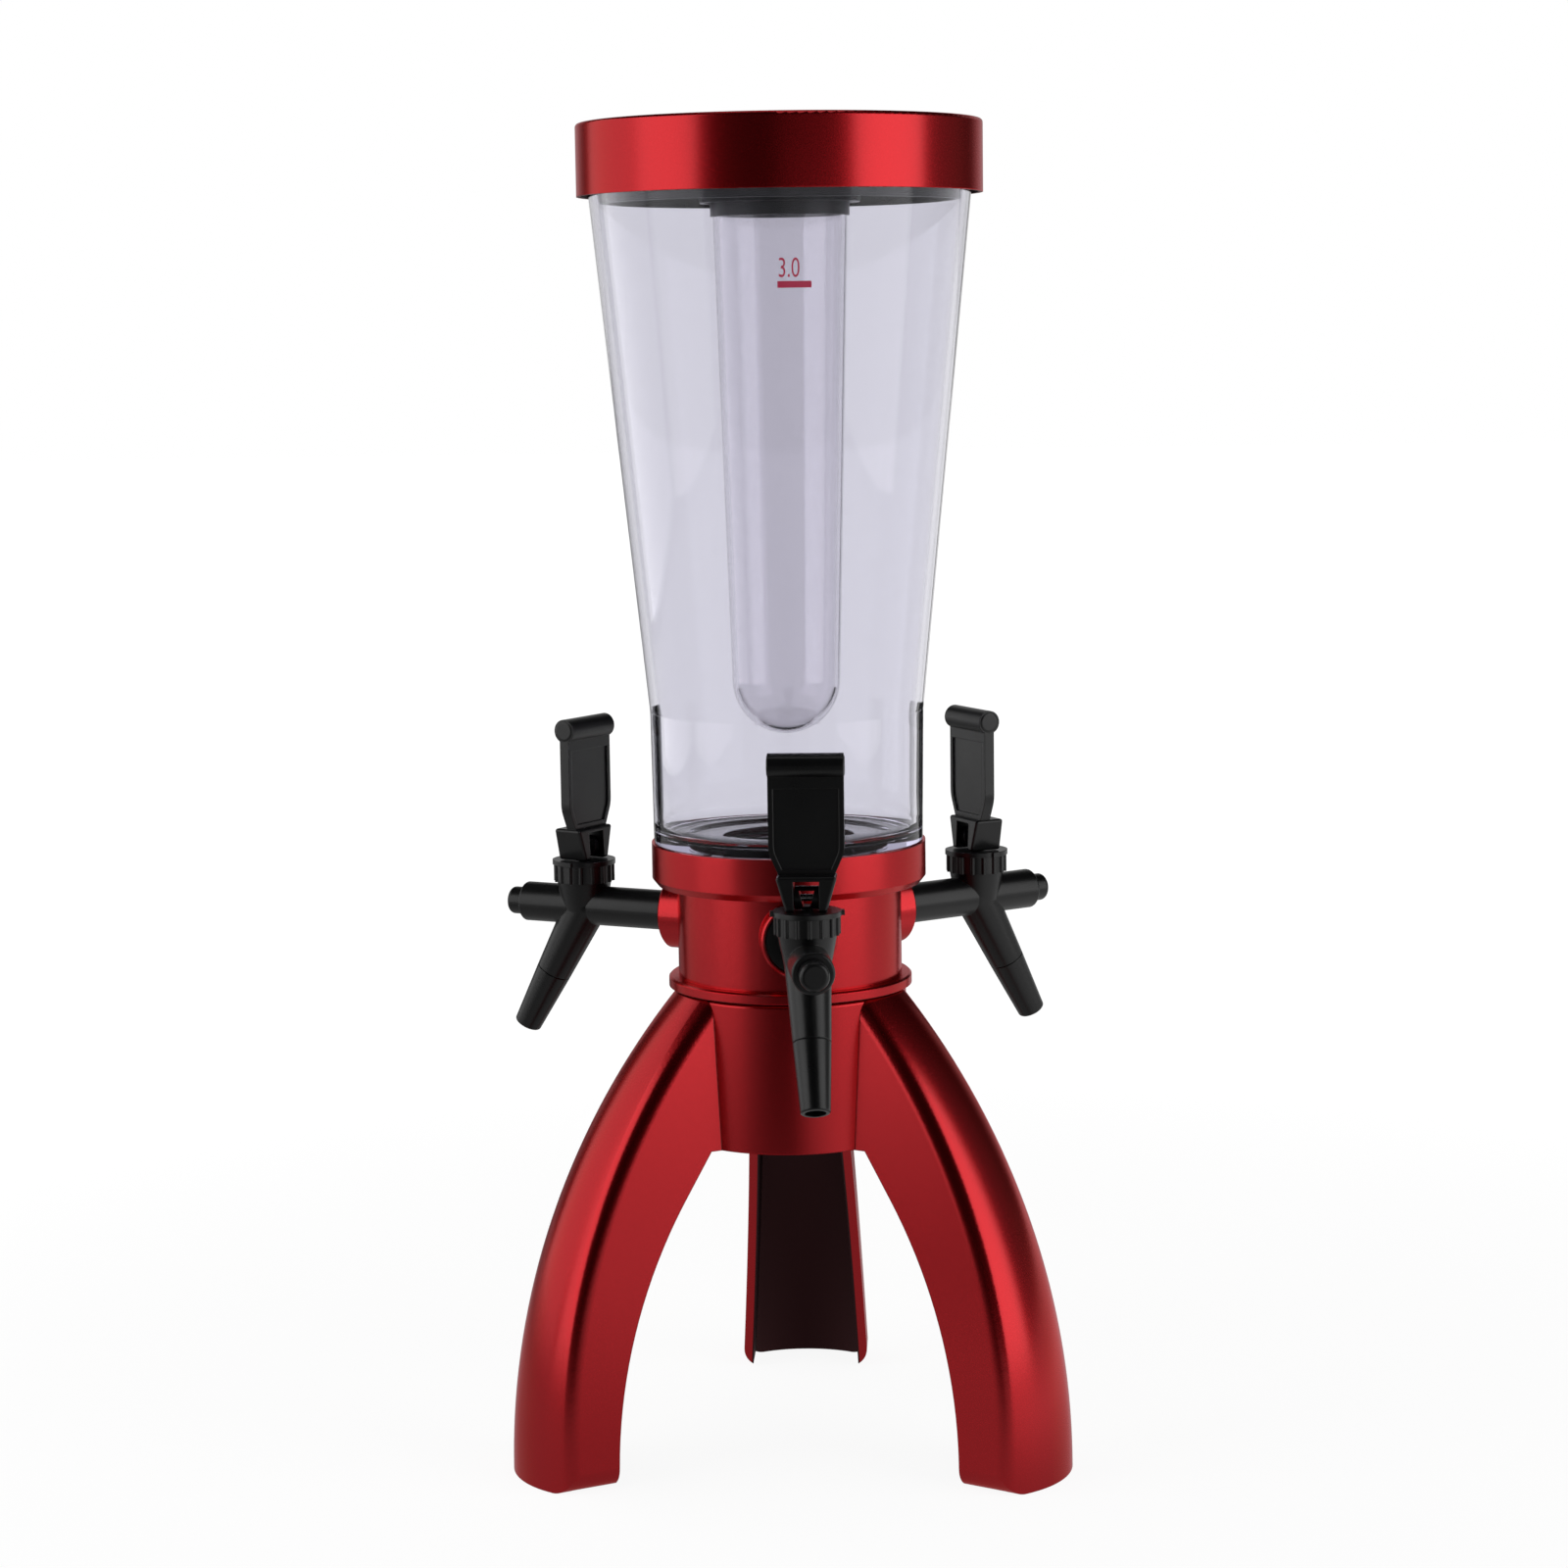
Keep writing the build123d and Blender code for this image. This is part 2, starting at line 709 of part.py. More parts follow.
def build_ice_tube():
    """The clear tube for ice and the ring round its mouth, which locks in the lid's socket."""
    ring_top = tube_top - tube_lip
    ring_bottom = tube_top - tube_ring_height
    ball_z = tube_top - tube_length + tube_tip_radius
    inner_tip = tube_tip_radius - tube_wall
    with BuildPart() as tube:
        with BuildSketch(Plane.XZ):
            with BuildLine():
                CenterArc((0, ball_z), tube_tip_radius, -90, 90)
                Polyline(
                    (tube_tip_radius, ball_z),
                    (tube_radius, ring_bottom),
                    (tube_radius, ring_top),
                    (tube_ring_radius, ring_top),
                    (tube_ring_radius, tube_top),
                    (tube_radius - tube_wall, tube_top),
                    (tube_radius - tube_wall, ring_bottom),
                    (inner_tip, ball_z),
                )
                CenterArc((0, ball_z), inner_tip, 0, -90)
                Line((0, ball_z - inner_tip), (0, ball_z - tube_tip_radius))
            make_face()
        revolve(axis=Axis.Z)
    save("ice_tube", tube.part)

    with BuildPart() as ring:
        add(band(tube_radius, tube_ring_radius, ring_bottom, ring_top))
        inner = (tube_radius + tube_ring_radius) / 2
        for lug in range(lug_count):
            middle = tower_turn + 360 / lug_count * lug
            start = middle - lug_half_angle
            end = middle + lug_half_angle
            add(sector(inner, lug_radius, lug_top - lug_height, lug_top, start, end))
    save("tube_ring", ring.part)


# ---- Taps -------------------------------------------------------------------------------------
def tap_placed(part, azimuth):
    """Move a piece built about its own upright axis out to a tap's place."""
    return about_axis(part.translate((tap_reach, 0, 0)), azimuth)


def spout_plane(distance):
    """A plane square to the leaning spout, at a distance from the crossing of the tap's axes."""
    lean = radians(spout_lean)
    centre = (distance * sin(lean) - spout_offset, 0, port_z - distance * cos(lean))
    return Plane(origin=centre, x_dir=(cos(lean), 0, sin(lean)), z_dir=(sin(lean), 0, -cos(lean)))


def tap_solid():
    """The outside of a tap's body, about the tap's own upright axis."""
    throat_z = port_z - throat_drop
    lean_rate = (spout_root_radius - spout_seam_radius) / spout_seam
    with BuildPart() as solid:
        with BuildSketch(Plane.XY.offset(throat_z)):
            Circle(throat_radius)
        with BuildSketch(Plane.XY.offset(thread_bottom)):
            Circle(funnel_radius)
        loft()
        with BuildSketch(Plane.XY.offset(thread_bottom)):
            Circle(bonnet_thread_radius)
        extrude(amount=bonnet_thread_height)
        with Locations((-spout_offset, 0, port_z)):
            Sphere(spout_root_radius * cos(lean_rate))
        with BuildSketch(radial_plane(shank_end - tap_reach, port_z)):
            Circle(shank_radius)
        extrude(amount=tap_reach - shank_end)
        with BuildSketch(radial_plane(tap_seat - tap_reach, port_z)):
            Circle(tap_flange_radius)
        extrude(amount=tap_flange)
        with BuildSketch(radial_plane(0, port_z)):
            Circle(shank_radius)
        extrude(amount=nose_length)
        fillet(solid.faces().sort_by(Axis.X)[-1].edges(), nose_round)
        with BuildSketch(spout_plane(0)):
            Circle(spout_root_radius)
        with BuildSketch(spout_plane(spout_seam)):
            Circle(spout_seam_radius)
        loft()
        seam_end = solid.faces().sort_by(Axis(spout_plane(0).origin, spout_plane(0).z_dir))[-1]
        chamfer(seam_end.edges(), spout_seam_bevel)
    return solid.part


def tap_cavity():
    """The passages of a tap: shank bore, chamber, outlet, nose and spout."""
    with BuildPart() as cavity:
        with BuildSketch(Plane.XY.offset(seat_z)):
            Circle(chamber_radius)
        extrude(amount=thread_top - seat_z)
        with BuildSketch(Plane.XY.offset(seat_z - outlet_depth)):
            Circle(outlet_bore)
        extrude(amount=outlet_depth)
        with BuildSketch(radial_plane(shank_end - tap_reach, port_z)):
            Circle(shank_bore)
        extrude(amount=tap_reach - shank_end - chamber_radius + bore_overlap)
        with BuildSketch(radial_plane(chamber_radius - bore_overlap, port_z)):
            Circle(nose_bore)
        extrude(amount=nose_length)
        with BuildSketch(spout_plane(throat_radius - bore_overlap)):
            Circle(spout_bore)
        extrude(amount=spout_seam)
        with BuildSketch(spout_plane(spout_seam - spout_spigot)):
            Circle(spout_spigot_radius)
        extrude(amount=2 * spout_spigot)
    return cavity.part


def build_tap_body(name, azimuth):
    """A tap's body, with its shank through the neck and the cup."""
    with BuildPart() as body:
        add(tap_solid())
        add(tap_cavity(), mode=Mode.SUBTRACT)
    save(f"tap_body_{name}", tap_placed(body.part, azimuth))


def build_tap_fittings(name, azimuth):
    """Washer, lock nut, nose plug, spout tip, bonnet seal and bonnet of a tap."""
    with BuildPart() as washer:
        with BuildSketch(radial_plane(washer_reach, port_z)):
            Circle(washer_radius)
            Circle(shank_radius, mode=Mode.SUBTRACT)
        extrude(amount=washer_thickness)
    save(f"port_washer_{name}", about_axis(washer.part, azimuth))

    with BuildPart() as nut:
        with BuildSketch(radial_plane(cup_pad_reach - shank_nut_width, port_z)):
            RegularPolygon(shank_nut_radius, 6)
            Circle(shank_radius, mode=Mode.SUBTRACT)
        extrude(amount=shank_nut_width)
    save(f"shank_nut_{name}", about_axis(nut.part, azimuth))

    with BuildPart() as plug:
        with BuildSketch(radial_plane(nose_length, port_z)):
            Circle(nose_plug_radius)
        extrude(amount=nose_plug_length)
        fillet(plug.faces().sort_by(Axis.X)[-1].edges(), nose_plug_round)
        with BuildSketch(radial_plane(nose_length - nose_plug_spigot, port_z)):
            Circle(nose_bore)
        extrude(amount=nose_plug_spigot)
    save(f"nose_plug_{name}", tap_placed(plug.part, azimuth))

    with BuildPart() as spout:
        with BuildSketch(spout_plane(spout_seam)):
            Circle(spout_seam_radius)
        with BuildSketch(spout_plane(spout_length)):
            Circle(spout_tip_radius)
        loft()
        ends = spout.faces().sort_by(Axis(spout_plane(0).origin, spout_plane(0).z_dir))
        chamfer(ends[0].edges(), spout_seam_bevel)
        fillet(ends[-1].edges(), spout_tip_round)
        with BuildSketch(spout_plane(spout_seam - spout_spigot)):
            Circle(spout_spigot_radius)
        extrude(amount=spout_spigot)
        with BuildSketch(spout_plane(spout_seam - spout_spigot)):
            Circle(spout_bore)
        extrude(amount=spout_length, mode=Mode.SUBTRACT)
    save(f"spout_tip_{name}", tap_placed(spout.part, azimuth))

    seal = band(chamber_radius, bonnet_thread_radius, thread_top, bonnet_under)
    save(f"bonnet_seal_{name}", tap_placed(seal, azimuth))

    outline = [
        (stem_radius + running, bonnet_under),
        (bonnet_thread_radius, bonnet_under),
        (bonnet_thread_radius, thread_bottom),
        (bonnet_radius, thread_bottom),
        (bonnet_radius, bonnet_under),
        (bonnet_lip_radius, bonnet_under),
        (bonnet_lip_radius, bonnet_top),
        (stem_radius + running, bonnet_top),
    ]
    with BuildPart() as bonnet:
        add(turned(outline))
        with BuildSketch(Plane.XY.offset(thread_bottom)):
            with PolarLocations(bonnet_radius, bonnet_rib_count):
                Circle(bonnet_rib_radius)
        extrude(amount=bonnet_under - thread_bottom)
        with BuildSketch(Plane.XY.offset(bonnet_under)):
            with PolarLocations(bonnet_lip_radius, 2, start_angle=90):
                Rectangle(bonnet_tab, bonnet_tab_width)
        extrude(amount=bonnet_lip)
    save(f"bonnet_{name}", tap_placed(bonnet.part, azimuth))


def build_valve(name, azimuth):
    """Rubber valve plug, closing spring, stem and fork pin of a tap."""
    plug_bottom = seat_z + play
    plug_top_z = plug_bottom + valve_plug_height
    pocket_bottom = plug_bottom + valve_pocket
    pocket_top = plug_top_z - valve_pocket
    outline = [
        (0, plug_bottom),
        (valve_plug_radius, plug_bottom),
        (valve_plug_radius, plug_top_z),
        (stem_radius + play, plug_top_z),
        (stem_radius + play, pocket_top),
        (stem_foot_radius + play, pocket_top),
        (stem_foot_radius + play, pocket_bottom),
        (0, pocket_bottom),
    ]
    save(f"valve_plug_{name}", tap_placed(turned(outline), azimuth))

    coil_bottom = plug_top_z + play + spring_wire
    pitch = (bonnet_under - spring_wire - coil_bottom) / spring_turns
    with BuildPart() as spring:
        with BuildLine(Plane.XY.offset(coil_bottom)) as coil:
            Helix(pitch, pitch * spring_turns, spring_radius)
        with BuildSketch(Plane(origin=coil.line @ 0, z_dir=coil.line % 0)):
            Circle(spring_wire)
        sweep(is_frenet=True)
    save(f"valve_spring_{name}", tap_placed(spring.part, azimuth))

    turn = lever_turn
    foot_bottom = pocket_bottom + play
    foot_top = pocket_top - play
    with BuildPart() as stem:
        with BuildSketch(Plane.XY.offset(foot_bottom)):
            Circle(stem_foot_radius)
        extrude(amount=foot_top - foot_bottom)
        with BuildSketch(Plane.XY.offset(foot_bottom)):
            Circle(stem_radius)
        extrude(amount=pin_z - foot_bottom)
        with BuildSketch(Plane.XZ):
            with Locations((0, pin_z)):
                Circle(stem_head_radius)
        extrude(amount=stem_head_width / 2, both=True)
        with BuildSketch(Plane.YZ):
            with BuildLine():
                Polyline(
                    (-stem_window_foot / 2, pin_z - stem_window_reach),
                    (stem_window_foot / 2, pin_z - stem_window_reach),
                    (stem_window_top / 2, pin_z + stem_window_reach),
                    (-stem_window_top / 2, pin_z + stem_window_reach),
                    close=True,
                )
            make_face()
        extrude(amount=2 * stem_head_radius, both=True, mode=Mode.SUBTRACT)
        with BuildSketch(Plane.XZ):
            with Locations((0, pin_z)):
                Circle(lever_pin_radius)
        extrude(amount=stem_head_width, both=True, mode=Mode.SUBTRACT)
    save(f"stem_{name}", tap_placed(about_axis(stem.part, turn), azimuth))

    with BuildPart() as pin:
        with BuildSketch(Plane.XZ):
            with Locations((0, pin_z)):
                Circle(lever_pin_radius)
        extrude(amount=lever_pin_length / 2, both=True)
    save(f"lever_pin_{name}", tap_placed(about_axis(pin.part, turn), azimuth))


def paddle_outline():
    """Front view of a lever's paddle, with its rounded, tapered shoulders."""
    shoulder_top = fork_head + paddle_shoulder
    foot = paddle_foot_width / 2
    half = paddle_width / 2
    with BuildSketch() as outline:
        with BuildLine():
            Polyline(
                (-foot, fork_head),
                (foot, fork_head),
                (half, shoulder_top),
                (half, barrel_z),
                (-half, barrel_z),
                (-half, shoulder_top),
                close=True,
            )
        make_face()
        shoulders = outline.vertices().filter_by(lambda v: abs(v.Y - shoulder_top) < play)
        fillet(shoulders, paddle_shoulder_round)
    return outline.sketch


def build_paddle():
    """A lever's flat paddle with a sunk panel on both faces and a round bar across its top."""
    with BuildPart() as paddle:
        with BuildSketch(Plane.XZ) as side:
            with Locations((-paddle_set_back, fork_head)):
                Rectangle(paddle_thickness, barrel_z - fork_head, align=(Align.CENTER, Align.MIN))
            with Locations((-paddle_set_back, barrel_z)):
                Circle(barrel_radius)
            junctions = side.vertices().filter_by(lambda v: v.Z > fork_head + paddle_height / 2)
            fillet(junctions, paddle_blend)
        extrude(amount=paddle_width / 2, both=True)
        with BuildSketch(Plane.YZ):
            add(paddle_outline())
            with Locations((0, barrel_z)):
                Rectangle(paddle_width, 2 * barrel_radius)
        extrude(amount=fork_head_depth, both=True, mode=Mode.INTERSECT)
        for side in (-1, 1):
            face_x = -paddle_set_back + side * (paddle_thickness / 2 - paddle_recess)
            with BuildSketch(Plane.YZ.offset(face_x)):
                add(paddle_outline())
                with Locations((0, barrel_z)):
                    Rectangle(paddle_width, 2 * (barrel_radius + paddle_blend), mode=Mode.SUBTRACT)
                offset(amount=-paddle_border, kind=Kind.INTERSECTION)
            extrude(amount=side * paddle_recess, mode=Mode.SUBTRACT)
    return paddle.part


def build_lever(name, azimuth):
    """A tap's lever: a fork over the stem, a flat paddle and a round bar across its top."""
    with BuildPart() as bar:
        with BuildSketch(Plane.XZ):
            with Locations((-paddle_set_back, barrel_z)):
                Circle(barrel_radius)
        extrude(amount=paddle_width / 2 + barrel_overhang, both=True)
        fillet(bar.edges().filter_by(GeomType.CIRCLE), barrel_round)
    with BuildPart() as lever:
        with BuildSketch(Plane.XY.offset(fork_foot)):
            Rectangle(fork_foot_depth, fork_foot_width)
        with BuildSketch(Plane.XY.offset(fork_head)):
            Rectangle(fork_head_depth, fork_head_width)
        loft()
        fillet(lever.edges(), fork_round)
        with BuildSketch(Plane.XY.offset(fork_foot)):
            Rectangle(2 * fork_head_depth, fork_slot)
        extrude(amount=fork_height - fork_bridge, mode=Mode.SUBTRACT)
        with BuildSketch(Plane.XZ):
            with Locations((0, pin_z)):
                Circle(lever_pin_radius + running)
        extrude(amount=lever_pin_length / 2 + running, both=True, mode=Mode.SUBTRACT)
        add(build_paddle())
        add(bar.part)
    save(f"lever_{name}", tap_placed(about_axis(lever.part, lever_turn), azimuth))


build_hub()
for leg_name, leg_azimuth in leg_azimuths.items():
    build_leg(leg_name, leg_azimuth)
build_leg_screws()
build_swivel()
build_neck()
build_collar()
build_cup()
build_container()
build_lid()
build_ice_tube()
for tap_name, tap_azimuth in tap_turns():
    build_tap_body(tap_name, tap_azimuth)
    build_tap_fittings(tap_name, tap_azimuth)
    build_valve(tap_name, tap_azimuth)
    build_lever(tap_name, tap_azimuth)
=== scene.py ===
"""Finishes for a tabletop beer tower: painted shells, black taps, clear container and stage."""

import json
import math

import bmesh
import bpy
from bpy.props import FloatProperty, FloatVectorProperty, PointerProperty, StringProperty
from bpy.types import Operator, Panel, PropertyGroup
from mathutils import Matrix, Vector


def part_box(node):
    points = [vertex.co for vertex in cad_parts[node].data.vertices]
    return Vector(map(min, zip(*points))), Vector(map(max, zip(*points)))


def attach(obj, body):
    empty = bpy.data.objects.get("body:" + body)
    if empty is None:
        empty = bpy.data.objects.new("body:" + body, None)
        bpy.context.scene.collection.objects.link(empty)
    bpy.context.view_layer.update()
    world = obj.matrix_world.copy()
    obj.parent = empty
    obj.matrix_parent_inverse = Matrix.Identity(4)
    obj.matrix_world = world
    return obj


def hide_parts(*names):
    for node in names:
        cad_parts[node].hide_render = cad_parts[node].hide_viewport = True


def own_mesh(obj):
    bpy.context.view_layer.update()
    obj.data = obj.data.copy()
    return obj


bl_info = {
    "name": "Beer Tower Finishes",
    "version": (1, 0, 0),
    "blender": (4, 5, 0),
    "location": "3D View > Sidebar > Beer Tower",
    "description": "Dresses a tabletop beer tower and sets its stage",
    "category": "Object",
}

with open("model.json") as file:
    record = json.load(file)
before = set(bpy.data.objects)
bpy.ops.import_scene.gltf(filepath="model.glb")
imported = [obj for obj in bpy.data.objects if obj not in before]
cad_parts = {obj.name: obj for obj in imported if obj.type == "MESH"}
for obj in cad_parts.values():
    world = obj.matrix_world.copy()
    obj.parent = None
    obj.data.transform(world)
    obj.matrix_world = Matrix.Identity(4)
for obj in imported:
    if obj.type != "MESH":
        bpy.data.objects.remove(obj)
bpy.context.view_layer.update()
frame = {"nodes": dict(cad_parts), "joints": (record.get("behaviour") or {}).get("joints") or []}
NODES = frame["nodes"]
TAP_NAMES = ("front", "left", "right")
LEG_NAMES = ("rear", "left", "right")

# Where the front tap stands round the tower's axis, read from its nose plug.
nose_low, nose_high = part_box("nose_plug_front")
FRONT_AZIMUTH = math.atan2(nose_low.y + nose_high.y, nose_low.x + nose_high.x)

# The legs' section, as the part has it: half the width at the floor, how much of it goes with each
# metre of height, and the wall.
FOOT_HALF_WIDTH = 0.0308
LEG_LEAN = 0.0542
LEG_WALL = 0.0048

# How much the container's outer radius grows with each metre of height along its flare.
CONTAINER_TAPER = 0.1008

# How strongly each clear piece mirrors, and how dense the haze in its walls is.
CONTAINER_MIRROR, CONTAINER_HAZE = 0.25, 32.0
TUBE_MIRROR, TUBE_HAZE = 1.0, 20.0

INK_PROUD = 0.00008  # of the print over the container's wall
NUMBER_INSET = 0.0006  # from the bar's left end to the number
NUMBER_LIFT = 0.0016  # from the bar's top to the number's foot
STROKE_OFFSET = -0.004  # thins the number's strokes, in letter heights

WHITE = (1.0, 1.0, 1.0, 1.0)


# ---- Shader maths -----------------------------------------------------------------------------
class Value:
    """A number that varies over a surface: maths on it adds Math nodes."""

    def __init__(self, shader, socket):
        self.shader = shader
        self.socket = socket

    def math(self, operation, *operands):
        node = self.shader.node("ShaderNodeMath", {"operation": operation})
        for slot, operand in zip(node.inputs, operands):
            self.shader.feed(slot, operand)
        return Value(self.shader, node.outputs[0])

    def __add__(self, other):
        return self.math("ADD", self, other)

    def __radd__(self, other):
        return self.math("ADD", other, self)

    def __sub__(self, other):
        return self.math("SUBTRACT", self, other)

    def __rsub__(self, other):
        return self.math("SUBTRACT", other, self)

    def __mul__(self, other):
        return self.math("MULTIPLY", self, other)

    def __rmul__(self, other):
        return self.math("MULTIPLY", other, self)

    def __truediv__(self, other):
        return self.math("DIVIDE", self, other)

    def __pow__(self, other):
        return self.math("POWER", self, other)

    def clamped(self):
        return self.math("MINIMUM", self.math("MAXIMUM", self, 0.0), 1.0)

    def between(self, low, high):
        """0 at low and 1 at high, smooth between them."""
        node = self.shader.node(
            "ShaderNodeMapRange",
            {"interpolation_type": "SMOOTHSTEP"},
            {"Value": self, "From Min": low, "From Max": high},
        )
        return Value(self.shader, node.outputs["Result"])


class Shader:
    """A material or world under construction."""

    def __init__(self, owner):
        owner.use_nodes = True
        self.tree = owner.node_tree
        self.tree.nodes.clear()

    def feed(self, slot, value):
        """Link a socket, or set a plain number or colour."""
        if isinstance(value, Value):
            value = value.socket
        if isinstance(value, bpy.types.NodeSocket):
            self.tree.links.new(value, slot)
        else:
            slot.default_value = value

    def node(self, kind, settings=None, sockets=None):
        made = self.tree.nodes.new(kind)
        for name, setting in (settings or {}).items():
            setattr(made, name, setting)
        for name, value in (sockets or {}).items():
            self.feed(made.inputs[name], value)
        return made

    def value(self, node, output):
        return Value(self, node.outputs[output])

    def place(self):
        """The point on the surface, in the object's own metres."""
        return self.node("ShaderNodeTexCoord").outputs["Object"]

    def noise(self, scale, detail=2.0, roughness=0.5, stretch=None):
        where = self.place()
        if stretch:
            scaling = {"Vector": where, "Scale": stretch}
            where = self.node("ShaderNodeMapping", None, scaling).outputs[0]
        made = self.node(
            "ShaderNodeTexNoise",
            None,
            {"Vector": where, "Scale": scale, "Detail": detail, "Roughness": roughness},
        )
        return self.value(made, "Fac")

    def plan(self, output):
        """X and Y of the surface point ("Object") or of its normal ("Normal"), and Z."""
        where = self.node("ShaderNodeTexCoord").outputs[output]
        split = self.node("ShaderNodeSeparateXYZ", None, {"Vector": where})
        return [self.value(split, axis) for axis in "XYZ"]

    def blend_colours(self, share, low, high):
        made = self.node("ShaderNodeMix", {"data_type": "RGBA"})
        self.feed(made.inputs["Factor"], share)
        for slot, colour in ((made.inputs[6], low), (made.inputs[7], high)):
            is_plain = not isinstance(colour, bpy.types.NodeSocket)
            self.feed(slot, (*colour[:3], 1.0) if is_plain else colour)
        return made.outputs[2]

    def bumped(self, height, distance, strength, edge):
        """The surface's normal with its sharp edges eased over a radius, and a fine relief."""
        eased = self.node("ShaderNodeBevel", {"samples": 6}, {"Radius": edge}).outputs[0]
        sockets = {"Height": height, "Distance": distance, "Strength": strength, "Normal": eased}
        return self.node("ShaderNodeBump", None, sockets).outputs[0]

    def finish(self, surface, volume=None):
        target = self.node("ShaderNodeOutputMaterial")
        self.feed(target.inputs["Surface"], surface)
        if volume:
            self.feed(target.inputs["Volume"], volume)


def new_material(name):
    material = bpy.data.materials.new(name)
    return material, Shader(material)


def principled(shader, **sockets):
    """A Principled shader, with its sockets named in words joined by underscores."""
    named = {name.replace("_", " "): value for name, value in sockets.items()}
    return shader.node("ShaderNodeBsdfPrincipled", None, named).outputs[0]


def dress(names, material):
    """Give CAD nodes one finish."""
    for name in names:
        if name not in NODES:
            raise RuntimeError(f"the frame has no node named {name}")
        slots = NODES[name].data.materials
        slots.clear()
        slots.append(material)


def per_tap(*stems):
    return [f"{stem}_{tap}" for stem in stems for tap in TAP_NAMES]


# ---- Sizes and colours that a user may change --------------------------------------------------
class FinishSettings(PropertyGroup):
    paint_colour: FloatVectorProperty(
        name="Shell paint",
        description="Colour of the satin metallic paint on the shells",
        subtype="COLOR",
        size=3,
        min=0.0,
        max=1.0,
        default=(0.47, 0.0075, 0.013),
    )
    paint_shade: FloatVectorProperty(
        name="Shell paint shade",
        description="Darker tone in the paint's cloudy variation",
        subtype="COLOR",
        size=3,
        min=0.0,
        max=1.0,
        default=(0.36, 0.005, 0.0085),
    )
    # Painted shade: a near-black, matt colour laid on the shells' inward-facing walls, where their
    # hollows lie in shadow.
    hollow_shade_colour: FloatVectorProperty(
        name="Hollow shade",
        description="Colour of the shells' unpainted insides",
        subtype="COLOR",
        size=3,
        min=0.0,
        max=1.0,
        default=(0.011, 0.008, 0.008),
    )
    fitting_colour: FloatVectorProperty(
        name="Fittings",
        description="Colour of the black moulded fittings",
        subtype="COLOR",
        size=3,
        min=0.0,
        max=1.0,
        default=(0.0022, 0.0022, 0.0024),
    )
    container_tint: FloatVectorProperty(
        name="Container",
        description="Tint of the clear container",
        subtype="COLOR",
        size=3,
        min=0.0,
        max=1.0,
        default=(0.785, 0.78, 0.828),
    )
    tube_tint: FloatVectorProperty(
        name="Ice tube",
        description="Tint of the clear ice tube",
        subtype="COLOR",
        size=3,
        min=0.0,
        max=1.0,
        default=(0.86, 0.85, 0.87),
    )
    mark_colour: FloatVectorProperty(
        name="Level mark",
        description="Colour of the printed level mark",
        subtype="COLOR",
        size=3,
        min=0.0,
        max=1.0,
        default=(0.42, 0.004, 0.05),
    )


class MarkSettings(PropertyGroup):
    bar_height: FloatProperty(
        name="Mark height",
        description="Height of the level bar's middle above the floor",
        default=0.528,
        unit="LENGTH",
    )
    bar_width: FloatProperty(
        name="Bar width",
        description="Length of the level bar round the wall",
        default=0.0145,
        unit="LENGTH",
    )
    bar_depth: FloatProperty(
        name="Bar thickness",
        description="Height of the level bar itself",
        default=0.0028,
        unit="LENGTH",
    )
    digit_height: FloatProperty(
        name="Digit height",
        description="Height of the plain number over the bar",
        default=0.0082,
        unit="LENGTH",
    )
    digits_width: FloatProperty(
        name="Number width",
        description="Width of the whole number, which stands over the bar's left part",
        default=0.0088,
        unit="LENGTH",
    )
    digits: StringProperty(
        name="Number",
        description="Plain number over the level bar",
        default="3.0",
    )


class StageSettings(PropertyGroup):
    floor_reach: FloatProperty(
        name="Floor reach",
        description="Half the width of the pale floor",
        default=12.0,
        unit="LENGTH",
    )
    left_light: FloatProperty(
        name="Left light",
        description="Power of the tall light on the left in watts",
        default=12.0,
    )
    left_rear_light: FloatProperty(
        name="Left rear light",
        description="Power of the weaker light behind the one on the left in watts",
        default=9.0,
    )
    right_light: FloatProperty(
        name="Right light",
        description="Power of the tall light on the right in watts",
        default=14.6,
    )
    top_light: FloatProperty(
        name="Top light",
        description="Power of the wide light overhead in watts",
        default=5.0,
    )


# ---- Finishes ---------------------------------------------------------------------------------
# The masks below pick the walls that get painted shade in the shells' and legs' hollows.
def inside_shell(shader):
    """1 on the walls of a round shell that face its axis."""
    x, y, _ = shader.plan("Object")
    across, along, _ = shader.plan("Normal")
    reach = (x * x + y * y) ** 0.5
    inward = 0.0 - (x * across + y * along) / reach
    return inward.between(0.3, 0.6)


def inside_leg(shader, azimuth):
    """1 in a leg's channel, on the walls behind its crown and between its sides."""
    outward = (math.cos(azimuth), math.sin(azimuth))
    x, y, height = shader.plan("Object")
    across = y * outward[0] - x * outward[1]
    nx, ny, _ = shader.plan("Normal")
    facing_out = nx * outward[0] + ny * outward[1]
    facing_across = ny * outward[0] - nx * outward[1]
    beside = across.math("ABSOLUTE", across)
    towards_middle = 0.0 - facing_across * across / beside
    side_walls = towards_middle.between(0.3, 0.6)
    rim = FOOT_HALF_WIDTH - LEG_LEAN * height - LEG_WALL * 0.8
    crown_wall = (0.0 - facing_out).between(0.05, 0.25) * (rim - beside).between(0.0, 0.0004)
    return (side_walls + crown_wall).clamped()


